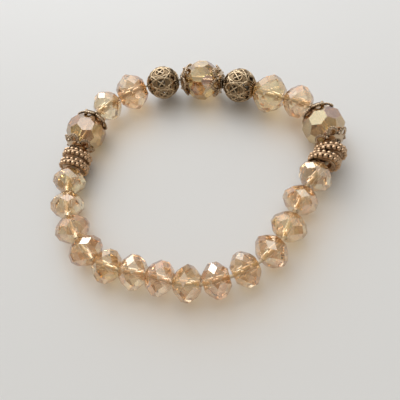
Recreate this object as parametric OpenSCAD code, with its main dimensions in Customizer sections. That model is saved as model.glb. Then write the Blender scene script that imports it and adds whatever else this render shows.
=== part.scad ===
// Beaded stretch bracelet, lying flat as one closed loop on a table.
// Millimetres, +Z up, the origin on the table under the middle of the loop.
// +X runs across the loop and +Y towards its back, where the middle focal bead is.

/* [Faceted crystals] */
// Diameter of a small crystal
crystal_d = 8.4; // [7.4:0.1:9]
// Length of a small crystal along its bore
crystal_len = 5.8; // [5.4:0.1:6.2]
// Length of the two longer crystals that lead to the outer focal beads
long_len = 6.6; // [6.2:0.1:7]
// Diameter of the two wide crystals beside the openwork beads
wide_d = 9.8; // [9:0.1:10.6]
// Length of a wide crystal along its bore
wide_len = 7.6; // [7:0.1:8.2]
// Facets round a crystal's waist
crystal_sides = 8; // [8:1:10]
// Diameter of the bore through a glass bead
bore_d = 1.4; // [1.2:0.1:1.8]

/* [Focal beads] */
// Diameter of the three focal beads over their facet corners
focal_d = 10; // [9.4:0.1:10.6]
// Length of a focal bead between its end faces
focal_len = 9.2; // [8.8:0.1:9.6]
// Facets round a focal bead's waist
focal_sides = 8; // [8:1:10]

/* [Bead caps] */
// Wall of a bead cap
cap_wall = 0.6; // [0.5:0.05:0.9]
// Petals round a cap
cap_petals = 6; // [5:1:6]
// Width of a petal
petal_d = 2.9; // [2.7:0.1:3]
// Opening in a petal
petal_hole_d = 1.9; // [1.6:0.1:1.9]
// Raised wire along each petal's edge
rim_wire_d = 0.5; // [0.4:0.05:0.55]
// Diameter of the hub that joins the petals
cap_hub_d = 5.4; // [5:0.1:5.6]
// Wire of the raised boss round a cap's bore
boss_wire_d = 0.5; // [0.4:0.05:0.6]

/* [Openwork beads] */
// Diameter of an openwork bead over its raised rings
openwork_d = 8.6; // [8.2:0.1:9.2]
// Length of an openwork bead over its two collars
openwork_len = 8.4; // [8.2:0.1:9]
// Wall of the pierced shell
shell_wall = 0.6; // [0.5:0.05:0.9]
// Eyes round the waist of the shell
eye_count = 8; // [6:1:8]
// Diameter of an eye's opening
eye_d = 1.7; // [1.4:0.1:1.8]
// Wire of the raised ring round an eye
eye_wire_d = 0.5; // [0.4:0.05:0.5]
// Diameter of the round holes nearer the ends
end_hole_d = 1.2; // [0.8:0.1:1.4]

/* [Spacers] */
// Diameter of a spacer over its granules
spacer_d = 7.6; // [7.2:0.1:8.4]
// Thickness of a spacer over its granules
spacer_len = 2; // [1.8:0.1:2.4]
// Granules in each of a spacer's two rows
granule_count = 18; // [12:1:18]
// Diameter of a granule
granule_d = 1.05; // [0.9:0.05:1.1]
// Diameter of the wide bore through a spacer
spacer_bore_d = 3.6; // [2.8:0.1:3.8]

/* [Elastic thread] */
// Diameter of the elastic thread
thread_d = 0.8; // [0.6:0.1:0.9]
// Steepest fall of the thread away from a big bead, as a rise over a run
thread_fall = 0.05; // [0.04:0.01:0.08]
// Free thread at a full joint, as a share of a small crystal's diameter
joint_share = 0.12; // [0.115:0.005:0.15]

/* [Hidden] */
// Clearance of a cap over its bead, and of the thread in a spacer
fit_gap = 0.15;
// Room that a leaning spacer keeps for the thread that crosses it
lean_room = 0.5;
// How much of the far bead's direction a spacer of a pair takes
lean_share = 0.42;

// Where the string of beads lies, back to right to front to left, before it is centred.
route = [
    [0, 27.5], [20.5, 20.2], [28.8, 16.4], [32.8, 4.7], [27.2, -3], [24, -10], [20, -19.5], [11, -26],
    [1, -28.5], [-9, -26], [-18.5, -25], [-25.5, -19], [-30.5, -10.5], [-31, 0.5], [-30.1, 13.2], [-19, 24.5]
];
// Straight steps between two points of the route
route_steps = 8;

// The strand in the same order, a row for each piece on the thread.
// name: the node's name. kind: which bead it is. roll: its turn about the bore, in degrees.
// slack: free thread after it, as a share of a full joint's.
// sway: which way a loose spacer hangs, in degrees.
NAME = 0;
KIND = 1;
ROLL = 2;
SLACK = 3;
SWAY = 4;
strand = [
    ["focal_bead_back", "focal", 0, 0.5, 0],
    ["openwork_bead_right", "openwork", 10, 0.3, 0],
    ["wide_crystal_right", "wide", 0, 0.3, 0],
    ["crystal_01", "long", 12, 0.8, 0],
    ["focal_bead_right", "focal", 0, 2, 0],
    ["spacer_right_upper", "spacer", 0, 0.9, -80],
    ["spacer_right_lower", "spacer", 7, 0.6, -90],
    ["crystal_02", "crystal", 0, 0.7, 0],
    ["crystal_03", "crystal", 15, 1.5, 0],
    ["crystal_04", "crystal", 0, 0.8, 0],
    ["crystal_05", "crystal", 20, 1.5, 0],
    ["crystal_06", "crystal", 8, 0.8, 0],
    ["crystal_07", "crystal", 0, 0.65, 0],
    ["crystal_08", "crystal", 18, 0.6, 0],
    ["crystal_09", "crystal", 5, 0.5, 0],
    ["crystal_10", "crystal", 0, 0.5, 0],
    ["crystal_11", "crystal", 10, 1, 0],
    ["crystal_12", "crystal", 0, 1.4, 0],
    ["crystal_13", "crystal", 20, 1, 0],
    ["crystal_14", "crystal", 0, 1.2, 0],
    ["crystal_15", "crystal", 6, 0.6, 0],
    ["spacer_left_lower", "spacer", 0, 0.4, 0],
    ["spacer_left_upper", "spacer", 7, 1.1, -40],
    ["focal_bead_left", "focal", 0, 0.7, 0],
    ["crystal_16", "long", 14, 0.8, 0],
    ["wide_crystal_left", "wide", 0, 0.6, 0],
    ["openwork_bead_left", "openwork", 0, 1.1, 0]
];
pieces = len(strand);

// The caps, a row for each: its node's name, the row of the strand that it sits on,
// and 1 on the far end of that bead along the thread or -1 on its near end.
caps = [
    ["cap_back_left", 0, -1], ["cap_back_right", 0, 1],
    ["cap_right_upper", 4, -1], ["cap_right_lower", 4, 1],
    ["cap_left_lower", 23, -1], ["cap_left_upper", 23, 1]
];

// A cap's dome follows the bead's corners, and its flat top carries the strand's next piece.
cap_inner_r = focal_d / 2 + fit_gap;
cap_outer_r = cap_inner_r + cap_wall;
// How much the dome's pole is filed flat
cap_flat = 0.2;
cap_top_z = cap_outer_r - cap_flat;
// Angle from the bore to the middle of a petal
petal_angle = 35;
// Radius of the ring of wire on a petal, a little wide so that it covers the petal's edge
edge_cover = 0.05;
rim_r = (petal_d - rim_wire_d) / 2 + edge_cover;
// How far from the bore the petals' wires stand
cap_reach = cap_outer_r * sin(petal_angle + asin(rim_r / cap_outer_r)) + rim_wire_d / 2;
// Radius of the ring of wire that makes the boss
boss_r = (bore_d + boss_wire_d) / 2 + edge_cover;

// The raised rings stand half their wire proud of the shell.
shell_r = (openwork_d - eye_wire_d) / 2;
// Diameter of the collar round the bore, and its depth in from the end face
collar_d = 2.9;
collar_depth = 0.7;
// Latitude of the end holes, and how many there are at each end
end_hole_lat = 47;
end_hole_count = 6;
// Latitude and diameter of the small holes between the eyes
fill_hole_lat = 27;
fill_hole_d = 0.9;
// Plain edge of shell between an opening and the ring of wire round it
plain_edge = 0.1;
// Radius of the ring of wire round an eye
eye_ring_r = (eye_d + eye_wire_d) / 2 + plain_edge;
// Wire of the raised ring round an end hole, and the ring's radius
end_wire_d = 0.4;
end_ring_r = (end_hole_d + end_wire_d) / 2 + plain_edge;

// Heights of a crystal's rings of corners above its waist, as shares of half its length
crystal_waist = 0.34;
crystal_shoulder = 0.75;
// Latitudes of a focal bead's two upper rows of facets
focal_row_1 = 36;
focal_row_2 = 62;

// How far the spacer's plain band stays inside the circle through its granules' middles
band_inset = granule_d / 10;
// How far the granules stand over the band's flat faces
granule_rise = granule_d / 4;

// How far a cutter runs past what it cuts
overcut = 0.5;

function unit(v) = v / norm(v);
function wrap(a, whole) = a - whole * floor(a / whole);
function next(i) = (i + 1) % pieces;
function before(i) = (i + pieces - 1) % pieces;
function running_sum(v) = [for (i = 0, s = 0; i <= len(v); s = s + (i < len(v) ? v[i] : 0), i = i + 1) s];

// Length of a piece along the thread
function piece_len(i) =
    strand[i][KIND] == "focal" ? 2 * cap_top_z + boss_wire_d :
    strand[i][KIND] == "openwork" ? openwork_len :
    strand[i][KIND] == "wide" ? wide_len :
    strand[i][KIND] == "long" ? long_len :
    strand[i][KIND] == "crystal" ? crystal_len : spacer_len;

// Free thread after a piece. It follows the crystals' diameter, as wider ones need more room at a bend.
function slack_after(i) = joint_share * crystal_d * strand[i][SLACK];

// Radius of a piece across the thread
function piece_r(i) =
    strand[i][KIND] == "focal" ? focal_d / 2 :
    strand[i][KIND] == "openwork" ? openwork_d / 2 :
    strand[i][KIND] == "wide" ? wide_d / 2 :
    strand[i][KIND] == "spacer" ? spacer_d / 2 : crystal_d / 2;

// Degrees from straight down to the nearest corner of a bead's waist
function off_corner(roll, sides) =
    let (pitch = 360 / sides, turn = wrap(roll, pitch))
    min(turn, pitch - turn);

// Height of a piece's bore where the piece itself stands on the table; a spacer hangs instead.
function rest_height(i) =
    strand[i][KIND] == "spacer" ? 0 :
    strand[i][KIND] == "openwork" ? piece_r(i) :
    strand[i][KIND] == "focal" ? max(piece_r(i), cap_reach) :
    piece_r(i) * cos(off_corner(strand[i][ROLL], crystal_sides));

// A point of the smooth closed curve through the route
function route_at(i, t) =
    let (
        n = len(route),
        a = route[(i + n - 1) % n],
        b = route[i],
        c = route[(i + 1) % n],
        d = route[(i + 2) % n]
    )
    b + ((c - a) * t + (2 * a - 5 * b + 4 * c - d) * pow(t, 2) + (3 * b - a - 3 * c + d) * pow(t, 3)) / 2;

// The loop is as long as what is strung on it, so the route is stretched to that length.
curve = [for (i = [0 : len(route) - 1], k = [0 : route_steps - 1]) route_at(i, k / route_steps)];
curve_ends = running_sum([for (i = [0 : len(curve) - 1]) norm(curve[(i + 1) % len(curve)] - curve[i])]);
piece_ends = running_sum([for (i = [0 : pieces - 1]) piece_len(i) + slack_after(i)]);
strand_len = piece_ends[pieces];
loop_scale = strand_len / curve_ends[len(curve)];
curve_x = [for (i = [0 : len(curve)]) [curve_ends[i], curve[i % len(curve)][0]]];
curve_y = [for (i = [0 : len(curve)]) [curve_ends[i], curve[i % len(curve)][1]]];
function along(s) =
    let (u = wrap(s, strand_len) / loop_scale)
    [lookup(u, curve_x), lookup(u, curve_y)] * loop_scale;

// The thread rests on the big beads and falls gently away from each of them.
function run_to(i, j) =
    i == j || i == next(j) ? 0 :
    min(wrap(piece_ends[j] - piece_ends[i], strand_len), wrap(piece_ends[i] - piece_ends[j + 1], strand_len));
function thread_height(i) = max([for (j = [0 : pieces - 1]) rest_height(j) - thread_fall * run_to(i, j)]);

// Where each piece begins on the thread, half-way through the slack.
// The first piece is centred on the start of the route.
first_half = (piece_len(0) + slack_after(0)) / 2;
loose_joints = [
    for (i = [0 : pieces - 1])
    let (p = along(piece_ends[i] - first_half))
    [p[0], p[1], thread_height(i)]
];

// The loop is then centred over the origin.
function loose_centre(i) = (loose_joints[i] + loose_joints[next(i)]) / 2;
function middle(axis) =
    (max([for (i = [0 : pieces - 1]) loose_centre(i)[axis] + piece_r(i)])
    + min([for (i = [0 : pieces - 1]) loose_centre(i)[axis] - piece_r(i)])) / 2;
centring = [middle(0), middle(1), 0];
joints = [for (p = loose_joints) p - centring];

function chord(i) = unit(joints[next(i)] - joints[i]);

// The two spacers of a pair share the bend: each leans mostly like the bead on its own side of the pair.
function lean(near, far) = unit((1 - lean_share) * chord(near) + lean_share * chord(far));
function axis_of(i) =
    strand[i][KIND] != "spacer" ? chord(i) :
    strand[before(i)][KIND] != "spacer" ? lean(before(i), next(next(i))) :
    lean(next(i), before(before(i)));

// A spacer's wide bore lets it hang off the thread's line.
spacer_play = (spacer_bore_d - thread_d) / 2 - fit_gap - lean_room;
function hang(i) =
    strand[i][KIND] != "spacer" ? [0, 0, 0] :
    let (side = unit(cross([0, 0, 1], axis_of(i))), up = cross(axis_of(i), side))
    spacer_play * (sin(strand[i][SWAY]) * side - cos(strand[i][SWAY]) * up);
function centre(i) = (joints[i] + joints[next(i)]) / 2 + hang(i);

// Stands a piece that is drawn along +Z in its place on the thread, its +X side down.
module on_thread(i) {
    a = axis_of(i);
    translate(centre(i))
        rotate([0, 90 - asin(a[2]), atan2(a[1], a[0])])
            children();
}

// Corners and faces of a bead cut in rings: radius, height, and 0 or 0.5 of a pitch of turn.
function ring_corners(rings, sides) = [
    for (ring = rings, k = [0 : sides - 1])
    let (angle = 360 / sides * (k + ring[2]))
    [ring[0] * cos(angle), ring[0] * sin(angle), ring[1]]
];
function band(lower, upper, sides, lower_turn, upper_turn) = [
    for (k = [0 : sides - 1])
    let (m = (k + 1) % sides, a = lower + k, b = lower + m, c = upper + k, d = upper + m)
    each (lower_turn > upper_turn ? [[a, c, d], [a, d, b]] : [[a, c, b], [c, d, b]])
];
function ring_faces(rings, sides) = concat(
    [[for (k = [0 : sides - 1]) k]],
    [
        for (i = [0 : len(rings) - 2])
        each band(i * sides, (i + 1) * sides, sides, rings[i][2], rings[i + 1][2])
    ],
    [[for (k = [0 : sides - 1]) len(rings) * sides - 1 - k]]
);
// The rings above the waist, mirrored below it, with the ring of the waist itself if there is one.
function mirrored(upper, waist = []) =
    concat([for (i = [len(upper) - 1 : -1 : 0]) [upper[i][0], -upper[i][1], upper[i][2]]], waist, upper);

// A solid bead cut in rings, with the thread's bore through it.
module bored_bead(rings, sides, l) {
    difference() {
        polyhedron(points = ring_corners(rings, sides), faces = ring_faces(rings, sides), convexity = 2);
        cylinder(d = bore_d, h = 2 * l, center = true, $fn = 40);
    }
}

// A rondelle of flat rhombic facets in staggered rows, with a flat table at each end.
module rondelle(d, l, sides) {
    half_pitch = 180 / sides;
    waist_r = d / 2;
    z1 = crystal_waist * l / 2;
    z2 = crystal_shoulder * l / 2;
    z3 = l / 2;
    // Each ring's radius keeps the rhombi of two rows flat.
    r1 = waist_r * cos(half_pitch);
    r2 = waist_r * (1 - pow(sin(half_pitch), 2) * z2 / z1);
    r3 = r1 + (r2 * cos(half_pitch) - r1) * (z3 - z1) / (z2 - z1);
    rings = mirrored([[r1, z1, 0.5], [r2, z2, 0], [r3, z3, 0.5]], [[waist_r, 0, 0]]);
    bored_bead(rings, sides, l);
}

// Where two facet planes meet in an upright plane through the bore, as a radius and a height.
// A plane has its share a of the radius and b of the height, and both lie at the same reach.
function meet(a1, b1, a2, b2, reach) =
    let (det = a1 * b2 - a2 * b1)
    [reach * (b2 - b1) / det, reach * (a1 - a2) / det];

// A round bead of six-sided facets, whose planes all touch one inner ball.
module focal_bead() {
    c = cos(180 / focal_sides);
    reach = focal_d / 2 * c;
    c1 = cos(focal_row_1);
    s1 = sin(focal_row_1);
    c2 = cos(focal_row_2);
    s2 = sin(focal_row_2);
    waist = [focal_d / 2, (reach - focal_d / 2 * c1) / s1];
    over_waist = [reach, reach * (1 - c * c1) / s1];
    under_row_2 = meet(c * c1, s1, c2, s2, reach);
    over_row_1 = meet(c1, s1, c * c2, s2, reach);
    table = [(reach - focal_len / 2 * s2) / (c * c2), focal_len / 2];
    upper = [
        [waist[0], waist[1], 0],
        [over_waist[0], over_waist[1], 0.5],
        [under_row_2[0], under_row_2[1], 0.5],
        [over_row_1[0], over_row_1[1], 0],
        [table[0], table[1], 0]
    ];
    bored_bead(mirrored(upper), focal_sides, focal_len);
}

// A ring of wire round +Z, at the height z.
module wire_ring(ring_r, wire_d, z) {
    translate([0, 0, z])
        rotate_extrude($fn = 48)
            translate([ring_r, 0])
                circle(d = wire_d, $fn = 24);
}

// The same ring, lying on a ball of radius ball_r.
module ring_on_ball(ball_r, ring_r, wire_d) {
    wire_ring(ring_r, wire_d, sqrt(pow(ball_r, 2) - pow(ring_r, 2)));
}

// A hole along +Z through the wall between two balls.
module radial_hole(inner_r, outer_r, d) {
    translate([0, 0, inner_r - overcut])
        cylinder(d = d, h = outer_r - inner_r + 2 * overcut, $fn = 32);
}

// Copies its children round +Z, leaning out from it.
module ring_of(count, lean, turn = 0) {
    for (k = [0 : count - 1])
        rotate([0, lean, 360 / count * (k + turn)])
            children();
}

// A pierced flower cap over the +Z end of a focal bead, with a raised wire along each petal.
module flower_cap() {
    reach = cap_outer_r + 2 * overcut;
    difference() {
        intersection() {
            // The balls' seams lie between two petals.
            rotate([0, 0, 180 / cap_petals])
                difference() {
                    sphere(r = cap_outer_r, $fn = 64);
                    sphere(r = cap_inner_r, $fn = 64);
                }
            union() {
                cylinder(d = cap_hub_d, h = reach, $fn = 64);
                ring_of(cap_petals, petal_angle) cylinder(d = petal_d, h = reach, $fn = 48);
            }
        }
        translate([0, 0, cap_top_z + reach]) cube(2 * reach, center = true);
        ring_of(cap_petals, petal_angle) radial_hole(cap_inner_r, cap_outer_r, petal_hole_d);
        cylinder(d = bore_d, h = reach, $fn = 40);
    }
    ring_of(cap_petals, petal_angle) ring_on_ball(cap_outer_r, rim_r, rim_wire_d);
    wire_ring(boss_r, boss_wire_d, cap_top_z);
}

// A hollow round bead, pierced all over, with a raised ring of wire round each of its larger openings.
module openwork_bead() {
    inner_r = shell_r - shell_wall;
    difference() {
        union() {
            sphere(r = shell_r, $fn = 64);
            cylinder(d = collar_d, h = openwork_len, center = true, $fn = 48);
        }
        intersection() {
            sphere(r = inner_r, $fn = 64);
            cylinder(d = 2 * openwork_d, h = openwork_len - 2 * collar_depth, center = true, $fn = 64);
        }
        ring_of(eye_count, 90) radial_hole(inner_r, shell_r, eye_d);
        for (end = [-1, 1]) {
            ring_of(end_hole_count, 90 - end * end_hole_lat, 0.5) radial_hole(inner_r, shell_r, end_hole_d);
            ring_of(eye_count, 90 - end * fill_hole_lat, 0.5) radial_hole(inner_r, shell_r, fill_hole_d);
        }
        cylinder(d = bore_d, h = 2 * openwork_len, center = true, $fn = 40);
    }
    ring_of(eye_count, 90) ring_on_ball(shell_r, eye_ring_r, eye_wire_d);
    for (end = [-1, 1])
        ring_of(end_hole_count, 90 - end * end_hole_lat, 0.5) ring_on_ball(shell_r, end_ring_r, end_wire_d);
}

// A flat ring with two staggered rows of granules round its edge.
module granulated_spacer() {
    row_r = (spacer_d - granule_d) / 2;
    row_z = (spacer_len - granule_d) / 2;
    difference() {
        union() {
            cylinder(r = row_r - band_inset, h = spacer_len - 2 * granule_rise, center = true, $fn = 64);
            for (row = [0, 1], k = [0 : granule_count - 1])
                rotate([0, 0, 360 / granule_count * (k + row / 2)])
                    translate([row_r, 0, (2 * row - 1) * row_z])
                        sphere(d = granule_d, $fn = 24);
        }
        cylinder(d = spacer_bore_d, h = 2 * spacer_len, center = true, $fn = 48);
    }
}

// A crystal of the strand's pale glass.
module crystal(d, l) {
    color([0.87, 0.68, 0.47, 0.7])
        rondelle(d, l, crystal_sides);
}

// The piece of one row of the strand, in its place.
module strand_piece(i) {
    kind = strand[i][KIND];
    on_thread(i)
        rotate([0, 0, strand[i][ROLL]]) {
            if (kind == "focal") color([0.80, 0.66, 0.46, 0.8]) focal_bead();
            if (kind == "wide") crystal(wide_d, wide_len);
            if (kind == "long") crystal(crystal_d, long_len);
            if (kind == "crystal") crystal(crystal_d, crystal_len);
            if (kind == "openwork") color([0.58, 0.46, 0.33]) openwork_bead();
            if (kind == "spacer") color([0.62, 0.44, 0.32]) granulated_spacer();
        }
}

// A cap in its place over one end of its focal bead.
module bead_cap(row) {
    color([0.60, 0.48, 0.32])
        on_thread(row[1])
            rotate([0, row[2] > 0 ? 0 : 180, 0])
                flower_cap();
}

// The thread runs straight through each piece and bends in the slack between two of them,
// over this share of the slack on each side of the joint.
bend_share = 0.3;
thread_sides = 8;
thread_points = [
    for (i = [0 : pieces - 1])
    let (bend = bend_share * slack_after(before(i)))
    each [joints[i] - bend * chord(before(i)), joints[i] + bend * chord(i)]
];
function thread_ring(k) =
    let (
        n = len(thread_points),
        ahead = unit(thread_points[(k + 1) % n] - thread_points[(k + n - 1) % n]),
        side = unit(cross([0, 0, 1], ahead)),
        up = cross(ahead, side)
    )
    [
        for (j = [0 : thread_sides - 1])
        let (angle = 360 / thread_sides * (j + 0.5))
        thread_points[k] + thread_d / 2 * (cos(angle) * side + sin(angle) * up)
    ];
module elastic_thread() {
    n = len(thread_points);
    color([0.93, 0.92, 0.88, 0.5])
        polyhedron(
            points = [for (k = [0 : n - 1]) each thread_ring(k)],
            faces = [
                for (k = [0 : n - 1], j = [0 : thread_sides - 1])
                let (
                    m = (j + 1) % thread_sides,
                    here = k * thread_sides,
                    there = (k + 1) % n * thread_sides
                )
                each [[here + j, there + j, here + m], [here + m, there + j, there + m]]
            ],
            convexity = 4
        );
}

for (i = [0 : pieces - 1])
    strand_piece(i);
for (row = caps)
    bead_cap(row);
elastic_thread();
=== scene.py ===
"""Looks of a beaded stretch bracelet that lies on a pale table.

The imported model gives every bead, cap, spacer and the thread in its place. This script finishes
them in glass and antique plate, sets cast caps over the plain ones, lays fine wirework over the
other metal pieces, and sets up the table, the light and the camera. Lengths are in millimetres
until they reach Blender, apart from those of the table and the lights, which are in metres.
"""

import logging
import math
from collections.abc import Callable
from dataclasses import dataclass, field, replace
from enum import Enum

import bpy
from bpy.types import Material, Node, NodeSocket, NodeTree, Object
from mathutils import Euler, Matrix, Vector


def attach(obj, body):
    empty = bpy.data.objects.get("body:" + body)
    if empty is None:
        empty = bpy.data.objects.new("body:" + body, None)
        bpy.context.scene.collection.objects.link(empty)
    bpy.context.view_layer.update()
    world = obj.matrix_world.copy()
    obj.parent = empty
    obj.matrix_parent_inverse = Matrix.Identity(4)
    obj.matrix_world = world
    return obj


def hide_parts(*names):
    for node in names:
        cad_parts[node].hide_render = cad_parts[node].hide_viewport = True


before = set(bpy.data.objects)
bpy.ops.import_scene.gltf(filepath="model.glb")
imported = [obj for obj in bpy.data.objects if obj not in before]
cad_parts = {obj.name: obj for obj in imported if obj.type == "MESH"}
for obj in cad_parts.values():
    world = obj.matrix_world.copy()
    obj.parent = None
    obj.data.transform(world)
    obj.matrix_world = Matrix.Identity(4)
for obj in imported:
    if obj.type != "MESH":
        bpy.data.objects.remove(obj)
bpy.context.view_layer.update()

LOG = logging.getLogger("bracelet")
MM = 0.001
GRAIN_BAND = (0.3, 0.7)
Rgb = tuple[float, float, float]
Xyz = tuple[float, float, float]
Span = tuple[float, float]


class Kind(Enum):
    """What a piece of the strand is. LONG is a crystal that is longer along the thread."""

    FOCAL = "focal"
    OPENWORK = "openwork"
    WIDE = "wide"
    LONG = "long"
    CRYSTAL = "crystal"
    SPACER = "spacer"


class Tint(Enum):
    """The shades that the crystals come in."""

    CHAMPAGNE = "champagne"
    PEACH = "peach"
    HONEY = "honey"
    BLUSH = "blush"


@dataclass(frozen=True)
class Piece:
    """One piece on the thread.

    roll is its turn about the thread and sway is how far it swings to a side, both in degrees.
    slack is the free thread after it, as a share of a full joint's.
    """

    name: str
    kind: Kind
    roll: float
    slack: float
    sway: float = 0.0
    tint: Tint = Tint.CHAMPAGNE


@dataclass(frozen=True)
class CapPlace:
    """Where a cap sits: its node, its bead's row in the strand, and which end of the bead."""

    name: str
    row: int
    end: int


STRAND = (
    Piece("focal_bead_back", Kind.FOCAL, 0, 0.5),
    Piece("openwork_bead_right", Kind.OPENWORK, 10, 0.3),
    Piece("wide_crystal_right", Kind.WIDE, 0, 0.3, tint=Tint.HONEY),
    Piece("crystal_01", Kind.LONG, 12, 0.8, tint=Tint.PEACH),
    Piece("focal_bead_right", Kind.FOCAL, 0, 2),
    Piece("spacer_right_upper", Kind.SPACER, 0, 0.9, -80),
    Piece("spacer_right_lower", Kind.SPACER, 7, 0.6, -90),
    Piece("crystal_02", Kind.CRYSTAL, 0, 0.7),
    Piece("crystal_03", Kind.CRYSTAL, 15, 1.5, tint=Tint.PEACH),
    Piece("crystal_04", Kind.CRYSTAL, 0, 0.8, tint=Tint.HONEY),
    Piece("crystal_05", Kind.CRYSTAL, 20, 1.5, tint=Tint.PEACH),
    Piece("crystal_06", Kind.CRYSTAL, 8, 0.8),
    Piece("crystal_07", Kind.CRYSTAL, 0, 0.65, tint=Tint.BLUSH),
    Piece("crystal_08", Kind.CRYSTAL, 18, 0.6),
    Piece("crystal_09", Kind.CRYSTAL, 5, 0.5, tint=Tint.BLUSH),
    Piece("crystal_10", Kind.CRYSTAL, 0, 0.5, tint=Tint.PEACH),
    Piece("crystal_11", Kind.CRYSTAL, 10, 1.0, tint=Tint.HONEY),
    Piece("crystal_12", Kind.CRYSTAL, 0, 1.4, tint=Tint.PEACH),
    Piece("crystal_13", Kind.CRYSTAL, 20, 1.0, tint=Tint.PEACH),
    Piece("crystal_14", Kind.CRYSTAL, 0, 1.2),
    Piece("crystal_15", Kind.CRYSTAL, 6, 0.6, tint=Tint.HONEY),
    Piece("spacer_left_lower", Kind.SPACER, 0, 0.4),
    Piece("spacer_left_upper", Kind.SPACER, 7, 1.1, -40),
    Piece("focal_bead_left", Kind.FOCAL, 0, 0.7),
    Piece("crystal_16", Kind.LONG, 14, 0.8),
    Piece("wide_crystal_left", Kind.WIDE, 0, 0.6, tint=Tint.PEACH),
    Piece("openwork_bead_left", Kind.OPENWORK, 0, 1.1),
)

CAPS = (
    CapPlace("cap_back_left", 0, -1),
    CapPlace("cap_back_right", 0, 1),
    CapPlace("cap_right_upper", 4, -1),
    CapPlace("cap_right_lower", 4, 1),
    CapPlace("cap_left_lower", 23, -1),
    CapPlace("cap_left_upper", 23, 1),
)

ROUTE = (
    (0, 27.5), (20.5, 20.2), (28.8, 16.4), (32.8, 4.7), (27.2, -3), (24, -10), (20, -19.5), (11, -26),
    (1, -28.5), (-9, -26), (-18.5, -25), (-25.5, -19), (-30.5, -10.5), (-31, 0.5), (-30.1, 13.2), (-19, 24.5),
)


def turned(degrees: float, axis: str) -> Matrix:
    """A turn about one axis through the origin."""
    return Matrix.Rotation(math.radians(degrees), 4, axis)


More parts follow.
